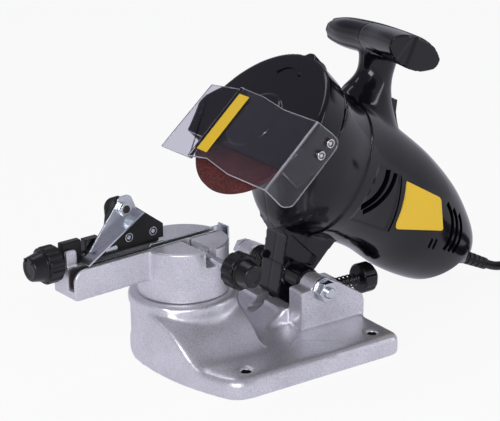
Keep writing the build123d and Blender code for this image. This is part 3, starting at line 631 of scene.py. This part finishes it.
housing = {
    "voxel": 1.0, "rounds": 4, "past": 60,
    # stations behind the wheel: lowest and highest across the head, half the width
    "case": ((13, -25, 56, 56), (34, -30, 58, 52), (58, -42, 66, 47), (92, -27, 72, 43), (125, -15, 76, 41),
             (160, -9, 75, 39), (190, 2, 68, 33), (206, 15, 61, 24), (213, 29, 55, 12)),
    # middle along and up, half the length and half the width
    "neck": ((147, 138, 33, 24), (154, 156, 21, 15), (160.5, 170, 13.5, 11.5), (164, 186, 15, 13)),
    "neckLean": (0.94, 0, -0.34),
    # away from the user, along and up, half the length and half the height
    "grip": ((-47, 157.3, 194, 23.5, 11), (-28, 158, 195.5, 19.5, 10.8), (0, 160.5, 195.5, 15.5, 11),
             (28, 160.5, 195, 14.5, 10.5), (45, 160.5, 194.5, 11, 8)),
    "gripLean": -24,
    # the arm and its recess, seen from the side
    "arm": ((69.5, 97), (71, 79), (76.3, 70), (68.7, 29), (71.5, 24.8), (77, 24.8), (78, 18), (86.5, 18),
            (88.5, 26), (97, 39), (111, 52.4), (128, 66), (112, 100)),
    "armHalf": 13, "recess": ((80.5, 71), (78, 50.5), (98, 44.5), (101.5, 50)), "recessDeep": 3,
    # hubs on the pivot: from, to and radius
    "pivot": (81.5, 41.5), "pivotHole": 4.1, "hubs": ((-13, 30.7, 9), (-30.7, 0, 7.4)),
    # boxes whose corners are eased more, and how often
    "eased": (((95, -45, 128), (185, 45, 163), 40), ((88, -26, 62), (140, 26, 104), 24),
              ((130, -20, 176), (190, 20, 192), 14)),
    # the line where the halves meet
    "seam": 0.12, "seamDeep": 0.35, "seamWide": 0.9,
    # the step behind the gear case follows a slanted line and fades; from where behind the wheel, and how low
    "stepAt": 65.2, "stepSlope": 0.4, "stepScale": 1.08, "stepDeep": 0.5, "stepFade": 18, "stepReach": 40,
    "stepFrom": 20, "stepLow": -60,
    # sunk panel round the front vents, on the user's side only
    "panel": ((66, 30), (88.3, 37.5), (112.5, 4.1), (79, -9)),
    "panelSide": 20, "panelDeep": 0.7, "panelEdge": 0.9,
    "panelGroove": ((88.8, 38.6), (91.6, 37.2), (116.4, 4.8), (114.2, 5.2)), "panelGrooveFloor": 34,
    # hollows: up across the head, from and to behind the wheel, radius
    "chambers": ((0, 12, 21, 14), (0, 20, 36, 25.6), (28.5, 61, 86, 33), (28.5, 85, 152, 36),
                 (28.5, 151, 182, 27)),
    # vents: start, middle and end of an arc behind the wheel and up across the head, and its width
    "fanSlots": (((76.5, 33.5), (81, 18), (77, 1), 5.2), ((84.5, 36), (87.5, 19), (82.5, 0), 4.4)),
    "rearSlot": ((145, 52), (160.6, 43), (168, 26)), "rearShift": ((9, 1), (6, 2), (5, 2)),
    "rearSlots": 3, "rearSlotWide": 3.8, "slotFloor": 22, "slotTop": 62,
    "lowSlots": ((150.9, 24.9, 154.6, 18.4), (154.6, 27.0, 158.6, 20.2)),
    "lowSlotHalf": 1.3, "lowSlotFloor": 33,
    # seat of the badge plate
    "badge": ((96, 39.1), (133.9, 50.8), (155.4, 34.8), (116.6, 8.3)), "badgeCorner": 3.1, "badgeSeat": 38.6,
    # what is cut off the rear end, behind the wheel and up across the head
    "rearCut": ((183, -60), (190.5, 5), (197, 35.2), (240, 35.2), (240, -60)),
    # along, up, and how far the skin is from the middle there
    "screws": ((91, 62, 10), (72.5, 52, 13), (159, 176, 11), (236, 40, 22)),
    "screwRadius": 2.8, "screwDeep": 5,
    "switch": (175, 0, 139.5), "switchLean": (0.984, 0, 0.176),
    "switchHole": (-12, -7.7, 10, 7.7), "switchDeep": 13.7,
    # the cord's way in: spot, direction, radius, from and to
    "cordHole": ((241.5, -6, 19), (0.9, -0.12, -0.42), 5.65, -12, 48),
}


def housingBody(facts):
    def body(bm):
        case = []
        for behind, low, high, half in moreStations(facts["case"]):
            place = axesPlace((behind, (low + high) / 2, 0), (0, 1, 0), (0, 0, 1))
            case.append(headPlace @ place @ Matrix.Diagonal(((high - low) / 2, half, 1, 1)))
        neck = []
        for along, up, long, wide in moreStations(facts["neck"]):
            place = axesPlace((along, 0, up), facts["neckLean"], (0, 1, 0))
            neck.append(benchPlace @ place @ Matrix.Diagonal((long, wide, 1, 1)))
        grip = []
        lean = math.radians(facts["gripLean"])
        ahead = (math.cos(lean), 0, math.sin(lean))
        across = (-math.sin(lean), 0, math.cos(lean))
        for away, along, up, long, high in moreStations(facts["grip"]):
            place = axesPlace((along, away, up), ahead, across)
            grip.append(benchPlace @ place @ Matrix.Diagonal((long, high, 1, 1)))
        for places in (case, neck, grip):
            addOvals(bm, places)
        addPrism(bm, facts["arm"], -facts["armHalf"], facts["armHalf"], sideView)
        for low, high, radius in facts["hubs"]:
            addRod(bm, facts["pivot"], low, high, radius, sideView)
    mesh = melted(solid(body), facts["voxel"], facts["rounds"])
    bm = bmesh.new()
    bm.from_mesh(mesh)
    for low, high, rounds in facts["eased"]:
        easeNear(bm, benchPlace, low, high, rounds)
    pressSurface(bm, headPlace, caseRelief)
    pressSurface(bm, benchPlace, lambda p: -facts["seamDeep"] * max(0, 1 - abs(p.y) / facts["seamWide"]))
    bm.to_mesh(mesh)
    bm.free()
    return mesh


def insideDistance(outline, x, y):
    # how far a point lies inside an outline drawn clockwise
    distance = 99
    for (ax, ay), (bx, by) in zip(outline, outline[1:] + outline[:1]):
        long = math.hypot(bx - ax, by - ay)
        distance = min(distance, ((x - ax) * (by - ay) - (y - ay) * (bx - ax)) / long)
    return distance


def caseRelief(spot):
    # how far the skin of the motor case stands out: the step behind the gear case and the sunk panel
    facts = housing
    step = (spot.x + facts["stepSlope"] * spot.y - facts["stepAt"]) / facts["stepScale"]
    depth = 0.0
    if spot.x > facts["stepFrom"] and abs(step) < facts["stepReach"] and spot.y > facts["stepLow"]:
        rise = math.tanh(step / facts["stepDeep"])
        depth = facts["stepDeep"] * rise * math.exp(-(step / facts["stepFade"]) ** 2)
    if spot.z > facts["panelSide"]:
        inside = insideDistance(facts["panel"], spot.x, spot.y) / facts["panelEdge"] + 0.5
        depth -= facts["panelDeep"] * min(max(inside, 0), 1)
    return depth


def roundedOutline(outline, radius, steps=5):
    # each corner replaced by a short curve
    made = []
    for before, corner, after in zip(outline[-1:] + outline[:-1], outline, outline[1:] + outline[:1]):
        c = Vector(corner)
        first = c + (Vector(before) - c).normalized() * radius
        last = c + (Vector(after) - c).normalized() * radius
        for step in range(steps + 1):
            t = step / steps
            made.append(tuple(first * (1 - t) ** 2 + c * 2 * t * (1 - t) + last * t ** 2))
    return made


def caseCutters(facts):
    # hollows, vents and seats of the motor case
    past = facts["past"]
    cutters = [solid(addRod, (up, 0), *rod, wheelView) for up, *rod in facts["chambers"]]
    slots = list(facts["fanSlots"])
    for number in range(facts["rearSlots"]):
        shifts = zip(facts["rearSlot"], facts["rearShift"])
        arc = [(x + dx * number, y + dy * number) for (x, y), (dx, dy) in shifts]
        slots.append((*arc, facts["rearSlotWide"]))
    for slot in slots:
        cutters.append(solid(addArc, *slot, facts["slotFloor"], facts["slotTop"], headPlace))
        cutters.append(solid(addArc, *slot, -facts["slotTop"], -facts["slotFloor"], headPlace))
    half = facts["lowSlotHalf"]
    for ax, ay, bx, by in facts["lowSlots"]:
        outline = ((ax - half, ay), (ax + half, ay), (bx + half, by), (bx - half, by))
        cutters.append(solid(addPrism, outline, facts["lowSlotFloor"], past, headPlace))
    cutters.append(solid(addPrism, facts["panelGroove"], facts["panelGrooveFloor"], past, headPlace))
    badge = roundedOutline(facts["badge"], facts["badgeCorner"])
    cutters.append(solid(addPrism, badge, facts["badgeSeat"], past, headPlace))
    cutters.append(solid(addPrism, facts["rearCut"], -past, past, headPlace))
    return cutters


def armCutters(facts):
    # recesses, screw holes, pivot hole, cord hole and switch hole
    past = facts["past"]
    floor = facts["armHalf"] - facts["recessDeep"]
    cutters = [solid(addPrism, facts["recess"], floor, facts["armHalf"] + 3, sideView),
               solid(addPrism, facts["recess"], -facts["armHalf"] - 3, -floor, sideView)]
    for along, up, surface in facts["screws"]:
        floor = facts["screwDeep"] - surface
        cutters.append(solid(addRod, (along, up), -past, floor, facts["screwRadius"], sideView))
    cutters.append(solid(addRod, facts["pivot"], -past, past, facts["pivotHole"], sideView))
    spot, ahead, radius, start, end = facts["cordHole"]
    ahead = Vector(ahead).normalized()
    aside = ahead.cross((0, 0, 1)).normalized()
    lane = benchPlace @ axesPlace(spot, aside, ahead.cross(aside))
    cutters.append(solid(addRod, (0, 0), start, end, radius, lane))
    seat = benchPlace @ axesPlace(facts["switch"], facts["switchLean"], (0, 1, 0))
    hole = rectangle(*facts["switchHole"])
    cutters.append(solid(addPrism, hole, -facts["switchDeep"], facts["switchDeep"], seat))
    return cutters


def makeHousing(facts):
    mesh = carve(housingBody(facts), caseCutters(facts) + armCutters(facts))
    # what is cut off each half lies past the seam
    room = rectangle(-100, -150, 400, 400)
    for node, low, high in (("housing_front", -200, facts["seam"]), ("housing_back", -facts["seam"], 200)):
        half = carve(mesh.copy(), [solid(addPrism, room, low, high, sideView)])
        showPiece(half, node, "glossBlack", 35)


makeHousing(housing)
print("housing made")


cover = {
    "voxel": 0.7, "rounds": 3,
    # outlines of radius and distance behind the wheel's middle
    "drum": ((19.4, -8), (57.2, -8), (59.2, -7.3), (60, -5.6), (60, 13), (57.5, 13), (57.5, -5.5), (19.4, -5.5)),
    "boss": ((0, -9.9), (20.3, -9.9), (21.5, -9.4), (22, -8.3), (22, -6), (19.5, -6), (19.5, -8.3), (0, -8.3)),
    # up across the head and towards the user
    "lobe": ((14.8, -55.7), (9, -62), (3.7, -66.2), (-3.2, -67.2), (-8.3, -63.6), (-26, -56), (-26, -40),
             (14, -40)),
    "lobeCorner": 3.2, "lobeReach": (-8, 1), "cutLine": -25,
    # rods and holes: from, to and radius
    "drumMiddle": (-2, 0), "drumHollow": (-5.3, 8.8, 57.5), "rimLug": (53, 5), "rimLugRod": (-7.6, 7.4, 7.2),
    "screws": ((59.5, -4), (24, -55.5)), "screwRod": (8.9, 13, 4.5), "screwHole": (-30, 14, 3.0),
    "posts": ((6, -1), (6, 9)), "postRod": (56, 60.4, 3.4), "postHole": (40, 70, 1.55),
    # raised arc: start, middle, end, width, from and to
    "rib": ((38.6, -14.3), (43.3, -9.7), (40.8, 9.2), 1.6, -9.0, -7),
}


def makeCover(facts):
    def body(bm):
        addLathe(bm, facts["drum"], facts["drumMiddle"], wheelView)
        addLathe(bm, facts["boss"], (0, 0), wheelView)
        addPrism(bm, roundedOutline(facts["lobe"], facts["lobeCorner"]), *facts["lobeReach"], wheelView)
        addRod(bm, facts["rimLug"], *facts["rimLugRod"], wheelView)
        for spot in facts["screws"]:
            addRod(bm, spot, *facts["screwRod"], wheelView)
        for spot in facts["posts"]:
            addRod(bm, spot, *facts["postRod"], headPlace)
    mesh = melted(solid(body), facts["voxel"], facts["rounds"])
    cutters = [solid(addPrism, rectangle(-90, -90, facts["cutLine"], 90), -20, 30, wheelView)]
    cutters.append(solid(addRod, facts["drumMiddle"], *facts["drumHollow"], wheelView))
    cutters += [solid(addRod, spot, *facts["screwHole"], wheelView) for spot in facts["screws"]]
    cutters += [solid(addRod, spot, *facts["postHole"], headPlace) for spot in facts["posts"]]
    mesh = carve(mesh, cutters)
    mesh = carve(mesh, [solid(addArc, *facts["rib"], wheelView)], "UNION")
    showPiece(mesh, "wheel_cover", "glossBlack", 35)


makeCover(cover)
print("wheel cover made")


castings = {
    "base_casting": {
        "voxel": 1.0, "rounds": 5,
        # boxes whose corners are eased more, and how often
        "eased": (((-60, -104, 10), (62, -24, 50), 45), ((-80, -120, -2), (130, 120, 15), 12),
                  ((-60, -30, 36), (60, 60, 60), 10)),
        "holes": ((1, -74), (103, -74)), "holeRadius": 3.25, "plateTop": 14.5,
        # engraved line on the plate
        "line": ((28.9, -69.7), (53.3, -55.7), (77.4, -74.5)), "lineWide": 0.6, "lineDeep": 0.5,
    },
    # the slot is a box of the vise's place whose walls get the dark steel finish as painted shade
    "vise_casting": {"voxel": 0.75, "rounds": 3, "slot": ((-95, -3.6, 67.2), (-30, 2.6, 90))},
}


def meltedCopy(node, facts):
    bm = mergedCopy(node)
    rough = bpy.data.meshes.new("rough")
    bm.to_mesh(rough)
    bm.free()
    return melted(rough, facts["voxel"], facts["rounds"])


def groove(start, end, low, high, wide, place):
    a, b = Vector(start), Vector(end)
    aside = (b - a).orthogonal().normalized() * wide / 2
    return solid(addPrism, [tuple(v) for v in (a - aside, b - aside, b + aside, a + aside)], low, high, place)


def makeBase(facts):
    mesh = meltedCopy("base_casting", facts)
    bm = bmesh.new()
    bm.from_mesh(mesh)
    for low, high, rounds in facts["eased"]:
        easeNear(bm, benchPlace, low, high, rounds)
    bm.to_mesh(mesh)
    bm.free()
    top = facts["plateTop"]
    cutters = [solid(addRod, spot, -top, 2 * top, facts["holeRadius"], benchPlace) for spot in facts["holes"]]
    for start, end in zip(facts["line"], facts["line"][1:]):
        cutters.append(groove(start, end, top - facts["lineDeep"], top + 3, facts["lineWide"], benchPlace))
    mesh = carve(mesh, cutters)
    back = benchPlace.inverted()
    # faces on the walls of the bench holes get the black finish as painted shade
    for face in mesh.polygons:
        spot = back @ face.center
        for x, y in facts["holes"]:
            if math.hypot(spot.x - x, spot.y - y) < facts["holeRadius"] + 0.05 and spot.z < top - 0.4:
                face.material_index = 1
    showPiece(mesh, "base_casting", "castSilver blackPaint", 40)


def makeVise(facts):
    mesh = meltedCopy("vise_casting", facts)
    back = visePlace.inverted()
    low, high = facts["slot"]
    # faces inside the slot get the dark steel finish: painted shade
    for face in mesh.polygons:
        spot = back @ face.center
        if all(a <= b <= c for a, b, c in zip(low, spot, high)):
            face.material_index = 1
    showPiece(mesh, "vise_casting", "castSilver coreSteel", 60)


makeBase(castings["base_casting"])
makeVise(castings["vise_casting"])
print("castings made")


def capFaces(bm, ahead, least=8):
    # the flat round ends that face ahead and lie furthest that way
    ahead = Vector(ahead).normalized()
    flat = [f for f in bm.faces if f.normal.dot(ahead) > 0.99 and len(f.verts) >= least]
    far = max(f.calc_center_median().dot(ahead) for f in flat)
    return [f for f in flat if f.calc_center_median().dot(ahead) > far - 0.0003]


def stepIn(bm, faces, steps):
    # rings within a flat end: how far in, how far down, and the finish of what lies inside
    for face in faces:
        for inwards, down, slot in steps:
            bmesh.ops.inset_individual(bm, faces=[face], thickness=inwards / 1000, depth=-down / 1000)
            face.material_index = slot


def endRings(ahead, steps):
    return lambda bm: stepIn(bm, capFaces(bm, ahead), steps)


def roundCorners(ahead, wide, keep=None):
    # rounds the corners of a flat piece, seen along ahead
    def detail(bm):
        line = Vector(ahead).normalized()
        edges = [e for e in bm.edges if abs((e.verts[1].co - e.verts[0].co).normalized().dot(line)) > 0.99
                 and e.calc_length() < 0.0025 and e.calc_face_angle(0) > math.radians(25)
                 and (keep is None or keep(headPlace.inverted() @ e.verts[0].co))]
        bmesh.ops.bevel(bm, geom=edges, offset=wide / 1000, offset_type="OFFSET", segments=5, profile=0.5,
                        affect="EDGES", clamp_overlap=True, material=-1)
        bm.normal_update()
    return detail


viseAlong = visePlace.to_3x3() @ Vector((1, 0, 0))
viseFront = visePlace.to_3x3() @ Vector((0, -1, 0))
knobCap = ((1.5, 0, 0), (0.5, 0.6, 0), (0.4, 0, 0))
rivetHead = ((0.55, 0, 1), (0.15, 0.35, 1), (0.85, 0, 0), (0.15, -0.2, 0))
screwSocket = ((0.9, 0, 1), (0.2, 0.5, 1), (0.6, 0, 0), (0.1, -0.2, 0))
# finish, width of the broken edges, and what else is done to the copy
detailed = {
    "adjusting_knob": ("satinBlack", 0.5, endRings(-viseAlong, knobCap)),
    "clamp_knob": ("satinBlack", 0.5, endRings(viseFront, knobCap)),
    "depth_knob": ("satinBlack", 0.4, None),
    "stop_rivets": ("brightZinc blackPaint", 0.15, endRings(viseFront, rivetHead)),
    "pawl_bolt": ("springSteel", 0.3, None),
    "guard_screws": ("chrome springSteel", 0.35, endRings((0, -1, 0), screwSocket)),
    "badge_plate": ("yellowFilm", 0.25, roundCorners((0, 1, 0), 2.6)),
}
# finish and width of the broken edges
crispParts = {
    "pivot_bolt": ("brightZinc", 0.3), "pivot_washers": ("brightZinc", 0.2), "pivot_nut": ("brightZinc", 0.3),
    "head_spring": ("springSteel", 0), "depth_screw": ("threaded", 0.2),
    "lock_bolt": ("zinc", 0.2), "lock_knob": ("satinBlack", 0.4), "lock_washer": ("zinc", 0.2),
    "fixed_rail": ("brightZinc", 0.2), "movable_rail": ("zinc", 0.2),
    "clamp_nut": ("zinc", 0.3), "clamp_rod": ("brightZinc", 0.2),
    "screw_block": ("blackPaint", 0.3), "stop_carriage": ("blackPaint", 0.4),
    "stop_plate": ("blackPaint", 0.25), "stop_pin": ("brightZinc", 0.2),
    "pawl_nut": ("brightZinc", 0.3), "pawl": ("brightZinc", 0.2), "adjusting_screw": ("threaded", 0.15),
    "housing_screws": ("blackPaint", 0.2), "cover_screws": ("chrome", 0.3),
    "guard_strip": ("yellowFilm", 0.08), "spindle_bearings": ("groundSteel", 0.3),
    "motor_bearings": ("groundSteel", 0.3), "stator_core": ("coreSteel", 0.2),
    "field_windings": ("copper", 1.0),
    "brush_holders": ("copper", 0.2), "carbon_brushes": ("carbon", 0.2),
    "switch_body": ("satinBlack", 0.4), "spindle": ("groundSteel", 0.3), "grinding_wheel": ("redGrit", 0.3),
    "inner_flange": ("zinc", 0.4), "outer_flange": ("zinc", 0.4), "flange_nut": ("zinc", 0.3),
    "spindle_gear": ("groundSteel", 0.1), "armature_shaft": ("groundSteel", 0.1),
    "armature_core": ("coreSteel", 0.2), "commutator": ("copper", 0.2), "fan": ("fanGrey", 0.2),
    "switch_rocker": ("satinBlack", 0.4), "strain_relief": ("cordRubber", 0.3),
    "plug": ("satinBlack", 0.4), "plug_pins": ("brightZinc", 0.3),
}
for node, (finish, edge) in crispParts.items():
    crispCopy(node, finish, edge)
for node, (finish, edge, detail) in detailed.items():
    crispCopy(node, finish, edge, detail)
# only the flaps behind the wheel's middle have round corners, and the second finish, a whitish painted
# highlight, goes to the edges
crispCopy("clear_guard", "clearGuard guardEdge", 0.5, roundCorners((0, 1, 0), 4, lambda p: p.x > 3), 1)
springEnds = [benchPlace @ Vector((along, 0, 0)) for along in (116.8, 140.2)]
crispCopy("depth_spring", "springSteel", 0, between=("base", "depth", *springEnds))
print("small parts made")


lead.data.materials.append(finishes["cordRubber"])
lead.data.shade_smooth()
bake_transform(lead)
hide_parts("power_cord", "cord_coil")


def slackenLead(reach):
    # works out how much each vertex would follow the head, growing from the exit to reach metres along the cord,
    # applies none of it; its vertices come as two end caps, then ring after ring
    along = [0.0]
    for point, following in zip(leadPath, leadPath[1:]):
        along.append(along[-1] + (following - point).length)
    vertices = lead.data.vertices
    ringSize = len(vertices) // len(leadPath)
    caps = len(vertices) - ringSize * len(leadPath)
    nearExit = 0.01
    shares = [float((v.co - leadPath[0]).length > nearExit) for v in vertices[:caps]]
    shares += [min(along[number // ringSize] / reach, 1) for number in range(len(vertices) - caps)]


slackenLead(cord["follow"])


# colours of the studio; a sky is a low and a high colour, and the heights between which they blend
studio = {
    "floor": (0.86, 0.86, 0.87, 1), "floorRough": 0.7, "floorGlow": 0.9, "floorRadius": 6, "floorGap": 0.0003,
    "mirroredFloor": (0.66, 0.65, 0.75, 1), "white": (1, 1, 1, 1),
    "mirroredSky": ((0.48, 0.48, 0.55, 1), (0.23, 0.22, 0.28, 1), 0.34, 0.47),
    "softSky": ((0.95, 0.95, 1.0, 1), (0.25, 0.25, 0.28, 1), 0.0, 0.8),
    # spot, aim, size in metres and power
    "lamps": {
        "keyLamp": ((-0.85, -0.95, 0.75), (0.02, 0.0, 0.08), (0.8, 0.5), 9.0),
        "fillLamp": ((1.2, -1.0, 0.6), (0.05, 0.07, 0.1), (0.12, 1.1), 2.0),
        "topLamp": ((0.15, 0.6, 1.3), (0.05, 0.07, 0.1), (1.0, 0.25), 2.0),
    },
}


def rayKinds(tree):
    # what is seen straight or through the guard, and what is seen in a reflection
    path = tree.nodes.new("ShaderNodeLightPath")
    bounced = calculate(tree, "ADD", path.outputs["Glossy Depth"], path.outputs["Diffuse Depth"])
    bounced = calculate(tree, "MINIMUM", bounced, 1.0)
    first = calculate(tree, "SUBTRACT", 1.0, bounced)
    through = calculate(tree, "MULTIPLY", path.outputs["Is Transmission Ray"], first)
    direct = calculate(tree, "MAXIMUM", path.outputs["Is Camera Ray"], through)
    again = calculate(tree, "MULTIPLY", path.outputs["Is Transmission Ray"], bounced)
    return direct, calculate(tree, "MAXIMUM", path.outputs["Is Glossy Ray"], again)


def makeFloor(facts):
    bm = bmesh.new()
    bmesh.ops.create_circle(bm, cap_ends=True, segments=64, radius=facts["floorRadius"])
    mesh = bpy.data.meshes.new("floor")
    bm.to_mesh(mesh)
    bm.free()
    floor = bpy.data.objects.new("floor", mesh)
    scene.collection.objects.link(floor)
    floor.location.z = cadBox[0].z - facts["floorGap"]
    material = bpy.data.materials.new("paleFloor")
    material.use_nodes = True
    tree = material.node_tree
    principled = tree.nodes["Principled BSDF"]
    principled.inputs["Base Color"].default_value = facts["floor"]
    principled.inputs["Roughness"].default_value = facts["floorRough"]
    direct, mirrored = rayKinds(tree)
    seen = calculate(tree, "MULTIPLY", calculate(tree, "MAXIMUM", direct, mirrored), facts["floorGlow"])
    shine = blendColour(tree, mirrored, facts["white"], facts["mirroredFloor"])
    glow = addNode(tree, "ShaderNodeEmission", Color=shine, Strength=1.0)
    mix = addNode(tree, "ShaderNodeMixShader", Fac=seen)
    tree.links.new(principled.outputs[0], mix.inputs[1])
    tree.links.new(glow.outputs[0], mix.inputs[2])
    tree.links.new(mix.outputs[0], tree.nodes["Material Output"].inputs["Surface"])
    mesh.materials.append(material)


def makeWorld(facts):
    world = bpy.data.worlds.new("studio")
    scene.world = world
    world.use_nodes = True
    tree = world.node_tree
    sky = addNode(tree, "ShaderNodeTexCoord")
    height = addNode(tree, "ShaderNodeSeparateXYZ", Vector=sky.outputs["Generated"]).outputs["Z"]
    direct, reflected = rayKinds(tree)
    skies = []
    for low, high, start, end in (facts["softSky"], facts["mirroredSky"]):
        skies.append(blendColour(tree, spread(tree, height, start, end), low, high))
    plain = blendColour(tree, reflected, *skies)
    seen = blendColour(tree, direct, plain, facts["white"])
    tree.links.new(seen, tree.nodes["Background"].inputs["Color"])


def addLamp(name, spot, aim, size, power):
    data = bpy.data.lights.new(name, "AREA")
    data.shape = "RECTANGLE"
    data.size, data.size_y = size
    data.energy = power
    lamp = bpy.data.objects.new(name, data)
    turn = (Vector(aim) - Vector(spot)).to_track_quat("-Z", "Y").to_matrix().to_4x4()
    lamp.matrix_world = Matrix.Translation(spot) @ turn
    scene.collection.objects.link(lamp)


makeFloor(studio)
makeWorld(studio)
for name, lampFacts in studio["lamps"].items():
    addLamp(name, *lampFacts)
scene.view_settings.view_transform = "Standard"

print("scene finished")
